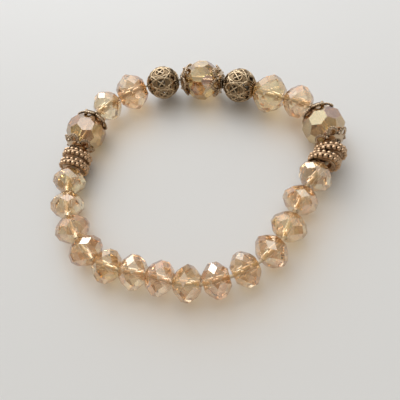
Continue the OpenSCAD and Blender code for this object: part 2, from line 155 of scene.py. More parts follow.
@dataclass
class StrandPlan:
    """Where every piece of the strand lies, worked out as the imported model's source does it."""

    lengths: dict[Kind, float] = field(
        default_factory=lambda: {
            Kind.FOCAL: 11.6, Kind.OPENWORK: 8.4, Kind.WIDE: 7.6,
            Kind.LONG: 6.6, Kind.CRYSTAL: 5.8, Kind.SPACER: 2.0,
        }
    )
    radii: dict[Kind, float] = field(
        default_factory=lambda: {
            Kind.FOCAL: 5.0, Kind.OPENWORK: 4.3, Kind.WIDE: 4.9,
            Kind.LONG: 4.2, Kind.CRYSTAL: 4.2, Kind.SPACER: 3.8,
        }
    )
    crystal_sides: int = 8
    cap_outer_r: float = 5.75
    petal_angle: float = 35.0
    rim_r: float = 1.25
    rim_wire_d: float = 0.5
    crystal_d: float = 8.4
    joint_share: float = 0.12
    thread_fall: float = 0.05
    lean_share: float = 0.42
    spacer_play: float = 0.75
    route_steps: int = 8

    def __post_init__(self) -> None:
        """Lays the strand along the route and centres it over the origin."""
        full_joint = self.joint_share * self.crystal_d
        self.ends = self._running([self.lengths[p.kind] + full_joint * p.slack for p in STRAND])
        self.length = self.ends[-1]
        self._measure_route()
        self.joints = self._joints()

    @staticmethod
    def _running(steps: list[float]) -> list[float]:
        """Running sums of steps, from nought."""
        sums = [0.0]
        for step in steps:
            sums.append(sums[-1] + step)
        return sums

    def _route_point(self, i: int, t: float) -> Vector:
        """A point of the smooth closed curve through the route.

        Args:
            i: The route point before it.
            t: The share of the way to the next one.

        Returns:
            The point, flat on the table.
        """
        a, b, c, d = (Vector(ROUTE[(i + k) % len(ROUTE)]) for k in (-1, 0, 1, 2))
        bend = (2 * a - 5 * b + 4 * c - d) * t**2 + (3 * b - a - 3 * c + d) * t**3
        return (2 * b + (c - a) * t + bend) / 2

    def _measure_route(self) -> None:
        """Steps along the route and finds how much it is stretched to hold the strand."""
        steps = range(self.route_steps)
        self.curve = [self._route_point(i, k / self.route_steps) for i in range(len(ROUTE)) for k in steps]
        around = self.curve[1:] + self.curve[:1]
        self.curve_ends = self._running([(b - a).length for a, b in zip(self.curve, around)])
        self.scale = self.length / self.curve_ends[-1]

    def _along(self, s: float) -> Vector:
        """The point of the stretched route at length s."""
        u = (s % self.length) / self.scale
        k = max(i for i, end in enumerate(self.curve_ends[:-1]) if end <= u)
        share = (u - self.curve_ends[k]) / (self.curve_ends[k + 1] - self.curve_ends[k])
        a, b = self.curve[k], self.curve[(k + 1) % len(self.curve)]
        return a.lerp(b, share) * self.scale

    def _rest_height(self, i: int) -> float:
        """Height of a piece's bore where the piece itself stands on the table."""
        piece = STRAND[i]
        radius = self.radii[piece.kind]
        if piece.kind is Kind.SPACER:
            return 0.0
        if piece.kind is Kind.OPENWORK:
            return radius
        if piece.kind is Kind.FOCAL:
            lean = math.radians(self.petal_angle) + math.asin(self.rim_r / self.cap_outer_r)
            return max(radius, self.cap_outer_r * math.sin(lean) + self.rim_wire_d / 2)
        pitch = 360 / self.crystal_sides
        turn = piece.roll % pitch
        return radius * math.cos(math.radians(min(turn, pitch - turn)))

    def _run(self, i: int, j: int) -> float:
        """Length of thread between joint i and piece j."""
        if j in (i, (i - 1) % len(STRAND)):
            return 0.0
        ahead = (self.ends[j] - self.ends[i]) % self.length
        return min(ahead, (self.ends[i] - self.ends[j + 1]) % self.length)

    def _joints(self) -> list[Vector]:
        """The points where one piece's share of the thread ends and the next one's begins."""
        n = len(STRAND)
        first_half = self.ends[1] / 2
        loose = []
        for i in range(n):
            p = self._along(self.ends[i] - first_half)
            z = max(self._rest_height(j) - self.thread_fall * self._run(i, j) for j in range(n))
            loose.append(Vector((p.x, p.y, z)))
        middles = [(loose[i] + loose[(i + 1) % n]) / 2 for i in range(n)]
        radii = [self.radii[p.kind] for p in STRAND]
        shift = Vector((0.0, 0.0, 0.0))
        for axis in (0, 1):
            far = max(m[axis] + r for m, r in zip(middles, radii))
            near = min(m[axis] - r for m, r in zip(middles, radii))
            shift[axis] = (far + near) / 2
        return [p - shift for p in loose]

    def chord(self, i: int) -> Vector:
        """Direction of the thread through piece i."""
        n = len(STRAND)
        return (self.joints[(i + 1) % n] - self.joints[i % n]).normalized()

    def axis(self, i: int) -> Vector:
        """Direction of a piece's bore; the spacers of a pair share the bend between them."""
        if STRAND[i].kind is not Kind.SPACER:
            return self.chord(i)
        near, far = (i - 1, i + 2) if STRAND[i - 1].kind is not Kind.SPACER else (i + 1, i - 2)
        return ((1 - self.lean_share) * self.chord(near) + self.lean_share * self.chord(far)).normalized()

    def centre(self, i: int) -> Vector:
        """Middle of a piece, in millimetres."""
        n = len(STRAND)
        middle = (self.joints[i] + self.joints[(i + 1) % n]) / 2
        if STRAND[i].kind is not Kind.SPACER:
            return middle
        side = Vector((0, 0, 1)).cross(self.axis(i)).normalized()
        up = self.axis(i).cross(side)
        sway = math.radians(STRAND[i].sway)
        return middle + self.spacer_play * (math.sin(sway) * side - math.cos(sway) * up)

    def place(self, i: int, roll: bool = True) -> Matrix:
        """Takes a piece that is modelled along +Z, in metres, to its place on the thread.

        Args:
            i: The piece's row in the strand.
            roll: Whether the piece's own turn about its bore is included.

        Returns:
            The piece's matrix.
        """
        a = self.axis(i)
        turn = Euler((0, math.pi / 2 - math.asin(a.z), math.atan2(a.y, a.x))).to_matrix().to_4x4()
        own = turned(STRAND[i].roll if roll else 0, "Z")
        return Matrix.Translation(self.centre(i) * MM) @ turn @ own

    def cap_place(self, cap: CapPlace) -> Matrix:
        """Takes a cap that is modelled over the +Z end of a bead to its end of its own bead."""
        flip = turned(0 if cap.end > 0 else 180, "Y")
        return self.place(cap.row, roll=False) @ flip


class Nodes:
    """A short way to add and join shader nodes in one tree."""

    def __init__(self, tree: NodeTree) -> None:
        """Starts on an empty tree."""
        self.tree = tree

    def add(self, kind: str, **inputs: object) -> Node:
        """Adds a node and sets its inputs by name.

        Args:
            kind: The node's type, without the words ShaderNode in front.
            inputs: A value for each input named, with _ for a space.

        Returns:
            The new node.
        """
        node = self.tree.nodes.new(f"ShaderNode{kind}")
        for name, value in inputs.items():
            node.inputs[name.replace("_", " ")].default_value = value
        return node

    def link(self, start: NodeSocket, end: NodeSocket) -> None:
        """Joins an output to an input."""
        self.tree.links.new(start, end)

    def noise(self, scale: float | NodeSocket, detail: float,
              vector: NodeSocket | None = None) -> NodeSocket:
        """A noise, over the object's own coordinates unless another vector is given.

        Args:
            scale: How many grains there are in a unit of the vector, or the socket that gives it.
            detail: How many finer layers it has.
            vector: The vector that it is read from.

        Returns:
            The noise's value.
        """
        node = self.add("TexNoise", Detail=detail)
        if isinstance(scale, float):
            node.inputs["Scale"].default_value = scale
        else:
            self.link(scale, node.inputs["Scale"])
        self.link(vector or self.add("TexCoord").outputs["Object"], node.inputs["Vector"])
        return node.outputs["Fac"]

    def ramp(self, value: NodeSocket, low: float, high: float, to_low: float = 0.0,
             to_high: float = 1.0) -> NodeSocket:
        """Stretches a value between low and high over a new range.

        Args:
            value: The value to stretch.
            low: Where the new range begins.
            high: Where it ends.
            to_low: The result at low.
            to_high: The result at high.

        Returns:
            The stretched value, held inside the new range.
        """
        node = self.add("MapRange")
        for index, number in enumerate((low, high, to_low, to_high), start=1):
            node.inputs[index].default_value = number
        self.link(value, node.inputs[0])
        return node.outputs[0]

    def mix(self, mask: NodeSocket, first: Rgb | NodeSocket, second: Rgb | NodeSocket) -> NodeSocket:
        """Mixes two colours.

        Args:
            mask: Nought for the first colour, one for the second.
            first: The first colour, or the socket that gives it.
            second: The second colour, or the socket that gives it.

        Returns:
            The mixed colour.
        """
        node = self.add("Mix")
        node.data_type = "RGBA"
        for index, colour in ((6, first), (7, second)):
            if isinstance(colour, tuple):
                node.inputs[index].default_value = (*colour, 1)
            else:
                self.link(colour, node.inputs[index])
        self.link(mask, node.inputs[0])
        return node.outputs[2]


def shared_group(name: str, inputs: dict[str, float], outputs: dict[str, str]) -> Nodes:
    """Makes an empty node group with named sockets.

    Args:
        name: The group's name.
        inputs: The number inputs and their usual values.
        outputs: The outputs and their socket types.

    Returns:
        The group's tree, with its input and output nodes in place.
    """
    tree = bpy.data.node_groups.new(name, "ShaderNodeTree")
    for label, value in inputs.items():
        socket = tree.interface.new_socket(name=label, in_out="INPUT", socket_type="NodeSocketFloat")
        socket.default_value = value
    for label, socket_type in outputs.items():
        tree.interface.new_socket(name=label, in_out="OUTPUT", socket_type=socket_type)
    tree.nodes.new("NodeGroupInput").name = "in"
    tree.nodes.new("NodeGroupOutput").name = "out"
    return Nodes(tree)


class Effects:
    """The effects that several finishes share, each built once.

    A band is the part of a noise or mask that is stretched, and rub is how far blotches shift a mask.
    """

    blotch_band: Span = (0.25, 0.75)
    rub: float = 0.16
    mask_band: Span = (0.42, 0.86)
    facet_band: Span = (0.36, 0.64)

    def __init__(self) -> None:
        """Builds every group."""
        self.patina = self._patina()
        self.grain = self._grain()
        self.facets = self._facets()

    def _patina(self) -> NodeTree:
        """A mask that is nought in recesses and one on the raised and rubbed places."""
        inputs = {"Reach": 0.8 * MM, "Blotch Scale": 700.0}
        n = shared_group("recess_patina", inputs, {"Mask": "NodeSocketFloat"})
        start = n.tree.nodes["in"]
        hollow = n.add("AmbientOcclusion")
        hollow.samples = 8
        n.link(start.outputs["Reach"], hollow.inputs["Distance"])
        blotch = n.noise(start.outputs["Blotch Scale"], 4.0)
        total = n.add("Math")
        total.operation = "ADD"
        n.link(hollow.outputs["AO"], total.inputs[0])
        n.link(n.ramp(blotch, *self.blotch_band, -self.rub, self.rub), total.inputs[1])
        n.link(n.ramp(total.outputs[0], *self.mask_band), n.tree.nodes["out"].inputs["Mask"])
        return n.tree

    @staticmethod
    def _grain() -> NodeTree:
        """A fine uneven surface, as its normal and as a value."""
        outputs = {"Normal": "NodeSocketVector", "Value": "NodeSocketFloat"}
        n = shared_group("fine_grain", {"Scale": 2500.0, "Depth": 0.2}, outputs)
        start = n.tree.nodes["in"]
        value = n.noise(start.outputs["Scale"], 4.0)
        bump = n.add("Bump", Distance=0.05 * MM)
        n.link(start.outputs["Depth"], bump.inputs["Strength"])
        n.link(value, bump.inputs["Height"])
        n.link(bump.outputs["Normal"], n.tree.nodes["out"].inputs["Normal"])
        n.link(value, n.tree.nodes["out"].inputs["Value"])
        return n.tree

    def _facets(self) -> NodeTree:
        """Two tones for each flat cut, read from the way that the cut faces; the first picks the glass's
        darker facets, which are partly painted shade.
        """
        details = {"Tone": 0.0, "Second": 2.0}
        n = shared_group("facet_tone", {"Scale": 3.0}, dict.fromkeys(details, "NodeSocketFloat"))
        start = n.tree.nodes["in"]
        way = n.add("NewGeometry").outputs["True Normal"]
        for label, detail in details.items():
            value = n.noise(start.outputs["Scale"], detail, way)
            n.link(n.ramp(value, *self.facet_band), n.tree.nodes["out"].inputs[label])
        return n.tree


def new_material(name: str) -> tuple[Material, Nodes, Node]:
    """Makes a material with one Principled shader.

    Args:
        name: The material's name.

    Returns:
        The material, its nodes, and the shader.
    """
    material = bpy.data.materials.new(name)
    material.use_nodes = True
    shader = material.node_tree.nodes["Principled BSDF"]
    return material, Nodes(material.node_tree), shader


def place_group(nodes: Nodes, group: NodeTree, **values: float) -> Node:
    """Puts a shared group into a material with its own values.

    Args:
        nodes: The material's nodes.
        group: The shared group.
        values: A number for each input named, with _ for a space.

    Returns:
        The group's node.
    """
    node = nodes.tree.nodes.new("ShaderNodeGroup")
    node.node_tree = group
    for name, value in values.items():
        node.inputs[name.replace("_", " ")].default_value = value
    return node


def lay_grain(nodes: Nodes, shader: Node, effects: Effects, scale: float, depth: float) -> NodeSocket:
    """Lays a fine grain over a finish.

    Args:
        nodes: The material's nodes.
        shader: The shader whose normals it moves.
        effects: The shared effects.
        scale: How many grains there are in a metre.
        depth: How deep they are, from nought to one.

    Returns:
        The grain's value.
    """
    grain = place_group(nodes, effects.grain, Scale=scale, Depth=depth)
    nodes.link(grain.outputs["Normal"], shader.inputs["Normal"])
    return grain.outputs["Value"]


@dataclass(frozen=True)
class GlassFinish:
    """Cut glass with a thin lustre baked on its facets, some darker facets, and painted shade where it is
    seen edge-on.

    pale and warm are the two shades of its facets, and brown is the colour of its darker ones: partly a
    lustre that differs from facet to facet and partly painted shade, for the dark spots that refraction
    gives. film lies on a few, and edge is painted shade where the glass is seen edge-on, for the dark
    outline that refraction gives at a bead's rim. body is the colour that the glass lets through, density
    is how strongly it stops the rest, and shadow is the light that comes through to its shadow. lustre
    tints its reflections, foil is the share of them that is metallic, and cut_scale is how fast the
    shade changes between facets. A band is the part of a noise, or of the slant to the eye, over which
    one shade gives way to the next. coat and rough are values at the two ends of their bands.
    """

    name: str
    pale: Rgb
    warm: Rgb
    brown_lustre_and_shade: Rgb
    edge: Rgb
    body: Rgb
    density: float
    shadow: Rgb = (0.87, 0.74, 0.57)
    lustre: Rgb = (1.0, 0.93, 0.97)
    index: float = 1.5
    foil: float = 0.2
    film: Rgb = (1.0, 0.82, 0.66)
    cut_scale: float = 2.7
    streak_scale: float = 260.0
    warm_band: Span = (0.38, 0.62)
    film_band: Span = (0.7, 0.85)
    brown_band: Span = (0.12, 0.52)
    painted_edge_shade_band: Span = (0.5, 0.9)
    coat_index: float = 1.9
    coat_rough: float = 0.02
    coat_band: Span = (0.6, 0.9)
    coat: Span = (0.8, 0.1)
    rough_band: Span = (0.3, 0.8)
    rough: Span = (0.0, 0.05)

    def material(self, effects: Effects) -> Material:
        """Builds the glass."""
        material, n, shader = new_material(self.name)
        shader.inputs["Transmission Weight"].default_value = 1.0
        shader.inputs["Metallic"].default_value = self.foil
        shader.inputs["IOR"].default_value = self.index
        shader.inputs["Specular Tint"].default_value = (*self.lustre, 1)
        shader.inputs["Coat IOR"].default_value = self.coat_index
        shader.inputs["Coat Roughness"].default_value = self.coat_rough
        streaks = n.noise(self.streak_scale, 2.0)
        cuts = place_group(n, effects.facets, Scale=self.cut_scale)
        body = n.mix(n.ramp(streaks, *self.warm_band), self.pale, self.warm)
        body = n.mix(n.ramp(cuts.outputs["Second"], *self.film_band), body, self.film)
        # Darker facets: partly a lustre that differs from facet to facet, partly painted shade for the dark
        # spots that refraction gives.
        body = n.mix(n.ramp(cuts.outputs["Tone"], *self.brown_band), self.brown_lustre_and_shade, body)
        # Painted shade: a dark colour is mixed in where the glass is seen edge-on, for the dark outline that
        # refraction gives at a bead's rim.
        slant = n.add("LayerWeight", Blend=0.5).outputs["Facing"]
        n.link(n.mix(n.ramp(slant, *self.painted_edge_shade_band), body, self.edge), shader.inputs["Base Color"])
        n.link(n.ramp(slant, *self.coat_band, *self.coat), shader.inputs["Coat Weight"])
        grain = lay_grain(n, shader, effects, scale=900.0, depth=0.04)
        n.link(n.ramp(grain, *self.rough_band, *self.rough), shader.inputs["Roughness"])
        absorb = n.add("VolumeAbsorption", Color=(*self.body, 1), Density=self.density)
        out = material.node_tree.nodes["Material Output"]
        n.link(absorb.outputs["Volume"], out.inputs["Volume"])
        clear = n.add("BsdfTransparent", Color=(*self.shadow, 1))
        both = n.add("MixShader")
        n.link(n.add("LightPath").outputs["Is Shadow Ray"], both.inputs[0])
        n.link(shader.outputs[0], both.inputs[1])
        n.link(clear.outputs[0], both.inputs[2])
        n.link(both.outputs[0], out.inputs["Surface"])
        return material


@dataclass(frozen=True)
class PlateFinish:
    """Antique plate: bright where it is rubbed, dark in its recesses.

    reach is how near a wall makes a recess, and rough is the roughness of a recess and of the rest.
    """

    name: str
    recess: Rgb
    raised: Rgb
    reach: float
    rough: Span = (0.55, 0.24)
    blotch_scale: float = 700.0

    def material(self, effects: Effects) -> Material:
        """Builds the plate."""
        material, n, shader = new_material(self.name)
        shader.inputs["Metallic"].default_value = 1.0
        patina = place_group(n, effects.patina, Reach=self.reach * MM, Blotch_Scale=self.blotch_scale)
        mask = patina.outputs["Mask"]
        n.link(n.mix(mask, self.recess, self.raised), shader.inputs["Base Color"])
        n.link(n.ramp(mask, 0.0, 1.0, *self.rough), shader.inputs["Roughness"])
        lay_grain(n, shader, effects, scale=3200.0, depth=0.35)
        return material


@dataclass(frozen=True)
class ElasticFinish:
    """Clear stretch thread with a faint grain, and a duller shade where the grain is low."""

    name: str
    colour: Rgb
    clear: float = 0.25
    index: float = 1.48
    dull: float = 0.86
    rough: Span = (0.12, 0.3)

    def material(self, effects: Effects) -> Material:
        """Builds the thread's clear rubber."""
        material, n, shader = new_material(self.name)
        shader.inputs["Transmission Weight"].default_value = self.clear
        shader.inputs["IOR"].default_value = self.index
        grain = lay_grain(n, shader, effects, scale=1800.0, depth=0.3)
        low = tuple(self.dull * c for c in self.colour)
        n.link(n.mix(grain, low, self.colour), shader.inputs["Base Color"])
        n.link(n.ramp(grain, *GRAIN_BAND, *self.rough), shader.inputs["Roughness"])
        return material


@dataclass(frozen=True)
class GroundFinish:
    """The matt wall that a drill leaves in glass, which shows as a pale band."""

    name: str
    colour: Rgb
    dull: float = 0.8
    rough: Span = (0.5, 0.7)

    def material(self, effects: Effects) -> Material:
        """Builds the ground wall."""
        material, n, shader = new_material(self.name)
        grain = lay_grain(n, shader, effects, scale=1500.0, depth=0.2)
        low = tuple(self.dull * c for c in self.colour)
        n.link(n.mix(grain, low, self.colour), shader.inputs["Base Color"])
        n.link(n.ramp(grain, *GRAIN_BAND, *self.rough), shader.inputs["Roughness"])
        return material


@dataclass(frozen=True)
class TableFinish:
    """A pale satin table top with painted light: it is painted lighter from near to far over depth, in
    metres, where the window's light falls.
    """

    name: str
    near: Rgb
    far: Rgb
    depth: float = 0.09
    shine: float = 0.3
    rough: Span = (0.5, 0.6)

    def material(self, effects: Effects) -> Material:
        """Builds the table's paint."""
        material, n, shader = new_material(self.name)
        shader.inputs["Specular IOR Level"].default_value = self.shine
        split = n.add("SeparateXYZ")
        n.link(n.add("TexCoord").outputs["Object"], split.inputs[0])
        # Painted light: the top grows lighter towards the back, where the window's light falls.
        back = n.ramp(split.outputs["Y"], 0.0, self.depth)
        n.link(n.mix(back, self.near, self.far), shader.inputs["Base Color"])
        grain = lay_grain(n, shader, effects, scale=700.0, depth=0.05)
        n.link(n.ramp(grain, *GRAIN_BAND, *self.rough), shader.inputs["Roughness"])
        return material


class Bench:
    """The modelling steps that every new piece goes through."""

    @staticmethod
    def clear() -> None:
        """Leaves edit mode and deselects everything."""
        if bpy.context.mode != "OBJECT":
            bpy.ops.object.mode_set(mode="OBJECT")
        bpy.ops.object.select_all(action="DESELECT")

    @staticmethod
    def pick(obj: Object) -> Object:
        """Makes obj the only selected and the active object."""
        Bench.clear()
        obj.select_set(True)
        bpy.context.view_layer.objects.active = obj
        return obj

    @staticmethod
    def start(add: Callable[..., set], **sizes: object) -> Object:
        """Adds a primitive at its size and place.

        Args:
            add: The operator that adds it.
            sizes: The operator's own values.

        Returns:
            The new object, alone selected.
        """
        Bench.clear()
        add(**sizes)
        return bpy.context.active_object

    @staticmethod
    def set_mesh(obj: Object, matrix: Matrix) -> Object:
        """Moves obj's mesh by a matrix and leaves the object at the origin."""
        obj.data.transform(matrix @ obj.matrix_basis)
        obj.matrix_basis = Matrix.Identity(4)
        return obj

    @staticmethod
    def wire_ring(radius: float, wire_r: float, steps: tuple[int, int], height: float = 0.0) -> Object:
        """Makes a ring of round wire about +Z.

        Args:
            radius: The ring's radius in millimetres.
            wire_r: The wire's own radius.
            steps: How many flats there are round the ring and round the wire.
            height: The ring's height over the origin.

        Returns:
            The ring, with its place in its mesh.
        """
        ring = Bench.start(
            bpy.ops.mesh.primitive_torus_add, location=(0, 0, height * MM), major_radius=radius * MM,
            minor_radius=wire_r * MM, major_segments=steps[0], minor_segments=steps[1],
        )
        return Bench.set_mesh(ring, Matrix.Identity(4))

    @staticmethod
    def ball(radius: float, at: Xyz, fineness: int = 2) -> Object:
        """Makes a granule.

        Args:
            radius: Its radius in millimetres.
            at: Its middle.
            fineness: How often its faces are split.

        Returns:
            The granule, with its place in its mesh.
        """
        granule = Bench.start(
            bpy.ops.mesh.primitive_ico_sphere_add, location=tuple(x * MM for x in at), radius=radius * MM,
            subdivisions=fineness,
        )
        return Bench.set_mesh(granule, Matrix.Identity(4))

    @staticmethod
    def apply(obj: Object, kind: str, **values: object) -> Object:
        """Adds a modifier and applies it.

        Args:
            obj: The piece.
            kind: The modifier's type.
            values: The modifier's own settings.

        Returns:
            The same piece.
        """
        Bench.pick(obj)
        modifier = obj.modifiers.new(kind.lower(), kind)
        for name, value in values.items():
            setattr(modifier, name, value)
        bpy.ops.object.modifier_apply(modifier=modifier.name)
        return obj

    @staticmethod
    def ring(obj: Object, count: int) -> Object:
        """Repeats a piece round +Z.

        Args:
            obj: The piece, with its place in its mesh.
            count: How many there are in all.

        Returns:
            The same piece, with all its copies in one mesh.
        """
        pivot = bpy.data.objects.new("ring_pivot", None)
        bpy.context.scene.collection.objects.link(pivot)
        pivot.rotation_euler = (0, 0, math.tau / count)
        bpy.context.view_layer.update()
        Bench.apply(
            obj, "ARRAY", count=count, use_relative_offset=False, use_object_offset=True, offset_object=pivot
        )
        bpy.data.objects.remove(pivot)
        return obj

    @staticmethod
    def join(name: str, parts: list[Object]) -> Object:
        """Joins parts into one object with the given name."""
        Bench.pick(parts[0])
        for part in parts:
            part.select_set(True)
        bpy.ops.object.join()
        parts[0].name = name
        parts[0].data.name = name
        return parts[0]

    @staticmethod
    def tidy(obj: Object, angle: float = 40.0) -> Object:
        """Closes seams, turns faces outward and smooths what isn't a sharp edge.

        Args:
            obj: The piece.
            angle: Edges sharper than this, in degrees, stay sharp.

        Returns:
            The same piece.
        """
        Bench.pick(obj)
        bpy.ops.object.mode_set(mode="EDIT")
        bpy.ops.mesh.select_all(action="SELECT")
        bpy.ops.mesh.remove_doubles(threshold=1e-7)
        bpy.ops.mesh.normals_make_consistent(inside=False)
        bpy.ops.object.mode_set(mode="OBJECT")
        bpy.ops.object.shade_smooth_by_angle(angle=math.radians(angle))
        return obj

    @staticmethod
    def copy_to(pattern: Object, name: str, matrix: Matrix, slot: str,
                material: Material) -> Object:
        """Makes a finished copy of a pattern piece in its own place.

        Args:
            pattern: The piece as it was modelled.
            name: The copy's name.
            matrix: Where it goes.
            slot: Not used.
            material: Its finish.

        Returns:
            The copy, which rides on the bracelet.
        """
        piece = pattern.copy()
        piece.data = pattern.data.copy()
        piece.name = name
        piece.data.name = name
        bpy.context.scene.collection.objects.link(piece)
        piece.data.transform(matrix)
        piece.data.materials.clear()
        piece.data.materials.append(material)
        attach(piece, "root")
        return piece


def dress(node: str, material: Material) -> None:
    """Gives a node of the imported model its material.

    Args:
        node: The node's name.
        material: Its finish.
    """
    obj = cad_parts[node]
    if not obj.data.materials:
        obj.data.materials.append(material)
    for index in range(len(obj.data.materials)):
        obj.data.materials[index] = material


@dataclass
class CrystalStrand:
    """The small and the wide crystals, in four shades."""

    effects: Effects
    # In each shade, edge is painted shade for a bead's dark outline, and the darker facets' colour is partly
    # painted shade.
    shades: dict[Tint, GlassFinish] = field(
        default_factory=lambda: {
            Tint.CHAMPAGNE: GlassFinish(
                "champagne_glass", pale=(1.0, 1.0, 0.88), warm=(1.0, 0.96, 0.76), brown_lustre_and_shade=(0.74, 0.53, 0.32),
                edge=(0.26, 0.15, 0.09), body=(1.0, 0.74, 0.32), density=40,
            ),
            Tint.PEACH: GlassFinish(
                "peach_glass", pale=(1.0, 0.99, 0.86), warm=(1.0, 0.94, 0.73), brown_lustre_and_shade=(0.74, 0.51, 0.3),
                edge=(0.26, 0.14, 0.09), body=(1.0, 0.71, 0.32), density=42,
            ),
            Tint.HONEY: GlassFinish(
                "honey_glass", pale=(1.0, 1.0, 0.84), warm=(1.0, 0.95, 0.69), brown_lustre_and_shade=(0.74, 0.53, 0.29),
                edge=(0.26, 0.15, 0.08), body=(0.97, 0.72, 0.26), density=54,
            ),
            Tint.BLUSH: GlassFinish(
                "blush_glass", pale=(1.0, 0.98, 0.87), warm=(1.0, 0.93, 0.75), brown_lustre_and_shade=(0.74, 0.51, 0.32),
                edge=(0.26, 0.14, 0.1), body=(1.0, 0.7, 0.34), density=40,
            ),
        }
    )

    def build(self) -> int:
        """Dresses every crystal.

        Returns:
            How many there are.
        """
        finishes = {tint: shade.material(self.effects) for tint, shade in self.shades.items()}
        crystals = [p for p in STRAND if p.kind in (Kind.CRYSTAL, Kind.LONG, Kind.WIDE)]
        for piece in crystals:
            dress(piece.name, finishes[piece.tint])
        return len(crystals)


@dataclass
class FocalBeads:
    """The three large beads and the pierced caps on their ends.

    rim_ball is the radius of the ball that the petals' rims lie on, and between_ball is how far from
    its middle the granules between the petals sit. flat_slack and upright find the flat at a hub's
    pole, by its height and its normal.
    """

    plan: StrandPlan
    effects: Effects
    petals: int = 6
    granule_d: float = 0.56
    granules: int = 14
    rim_ball: float = 5.32
    inner_r: float = 0.9
    inner_wire_r: float = 0.27
    bore_d: float = 1.4
    hub_d: float = 5.4
    wall: float = 0.55
    flat_z: float = 5.55
    flat_slack: float = 0.01
    upright: float = 0.999
    boss_r: float = 1.0
    boss_wire_r: float = 0.25
    collar_count: int = 20
    collar_granule_r: float = 0.21
    collar_r: float = 1.72
    collar_z: float = 5.48
    between_granule_r: float = 0.36
    between_ball: float = 5.7
    between_angle: float = 31.0
    # edge is painted shade for a bead's dark outline, and the darker facets' colour is partly painted shade.
    glass: GlassFinish = GlassFinish(
        "topaz_glass", pale=(0.88, 0.78, 0.42), warm=(0.92, 0.72, 0.34), brown_lustre_and_shade=(0.5, 0.29, 0.14),
        edge=(0.3, 0.17, 0.09), body=(1.0, 0.75, 0.32), density=26, foil=0.38, film=(0.86, 0.68, 0.64),
    )
    back_scale: float = 3.4
    plate: PlateFinish = PlateFinish(
        "cap_plate", recess=(0.04, 0.026, 0.015), raised=(0.6, 0.46, 0.32), reach=0.55, rough=(0.42, 0.16)
    )

    def _petal_matrix(self, radius: float) -> Matrix:
        """Takes a ring of this radius, drawn flat at the origin, to its petal on the ball of the rims."""
        lean = turned(self.plan.petal_angle, "Y")
        height = math.sqrt(self.rim_ball**2 - radius**2)
        return lean @ Matrix.Translation((0, 0, height * MM))

    def _hub(self) -> Object:
        """The domed middle of a cap, filed flat at its pole and drilled."""
        r = self.plan.cap_outer_r
        hub = Bench.start(bpy.ops.mesh.primitive_uv_sphere_add, segments=64, ring_count=96, radius=r * MM)
        bpy.ops.object.mode_set(mode="EDIT")
        bpy.ops.mesh.select_all(action="SELECT")
        brim = math.sqrt(r**2 - (self.hub_d / 2) ** 2)
        bpy.ops.mesh.bisect(plane_co=(0, 0, brim * MM), plane_no=(0, 0, 1), clear_inner=True)
        bpy.ops.mesh.select_all(action="SELECT")
        bpy.ops.mesh.bisect(
            plane_co=(0, 0, self.flat_z * MM), plane_no=(0, 0, 1), clear_outer=True, use_fill=True
        )
        bpy.ops.mesh.select_all(action="DESELECT")
        bpy.ops.object.mode_set(mode="OBJECT")
        low = (self.flat_z - self.flat_slack) * MM
        for face in hub.data.polygons:
            face.select = face.normal.z > self.upright and face.center.z > low
        bpy.ops.object.mode_set(mode="EDIT")
        bpy.ops.mesh.select_mode(type="FACE")
        flat_r = math.sqrt(r**2 - self.flat_z**2)
        bpy.ops.mesh.inset(thickness=(flat_r - self.bore_d / 2) * MM)
        bpy.ops.mesh.delete(type="FACE")
        bpy.ops.object.mode_set(mode="OBJECT")
        Bench.apply(hub, "SOLIDIFY", thickness=self.wall * MM, offset=-1.0)
        return Bench.tidy(hub)

    def _petal_rims(self) -> list[Object]:
        """The petals' loops: a string of granules outside a smooth wire."""
        outer = self.plan.rim_r + self.plan.rim_wire_d / 2 - self.granule_d / 2
        granule = Bench.ball(self.granule_d / 2, (outer, 0, 0))
        Bench.ring(granule, self.granules)
        Bench.set_mesh(granule, self._petal_matrix(outer))
        Bench.ring(granule, self.petals)
        wire = Bench.wire_ring(self.inner_r, self.inner_wire_r, (40, 12))
        Bench.set_mesh(wire, self._petal_matrix(self.inner_r))
        Bench.ring(wire, self.petals)
        return [Bench.tidy(granule), Bench.tidy(wire)]

    def _collar(self) -> list[Object]:
        """The boss, a ring of granules round it, and one larger granule between each two petals."""
        boss = Bench.wire_ring(self.boss_r, self.boss_wire_r, (40, 12), self.flat_z)
        collar = Bench.ball(self.collar_granule_r, (self.collar_r, 0, self.collar_z))
        Bench.ring(collar, self.collar_count)
        between = Bench.ball(self.between_granule_r, (0, 0, self.between_ball), fineness=3)
        lean = turned(self.between_angle, "Y")
        Bench.set_mesh(between, turned(180 / self.petals, "Z") @ lean)
        Bench.ring(between, self.petals)
        return [Bench.tidy(boss), Bench.tidy(collar), Bench.tidy(between)]

    def build(self) -> int:
        """Dresses the beads and sets a cast cap over each end.

        Returns:
            How many caps there are.
        """
        glass = self.glass.material(self.effects)
        # The back bead takes another cut scale, which moves its pale and darker facets so that a pale facet
        # lies where its highlight falls: a painted highlight.
        other_cuts = replace(self.glass, name="topaz_glass_back", cut_scale=self.back_scale)
        back = other_cuts.material(self.effects)
        for piece in STRAND:
            if piece.kind is Kind.FOCAL:
                dress(piece.name, back if piece.name == "focal_bead_back" else glass)
        plate = self.plate.material(self.effects)
        pattern = Bench.join("cap_pattern", [self._hub(), *self._petal_rims(), *self._collar()])
        for cap in CAPS:
            dress(cap.name, plate)
            piece = Bench.copy_to(
                pattern, cap.name.replace("cap_", "cast_cap_"), self.plan.cap_place(cap), "cap_metal", plate
            )
            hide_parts(cap.name)
        bpy.data.objects.remove(pattern)
        return len(CAPS)


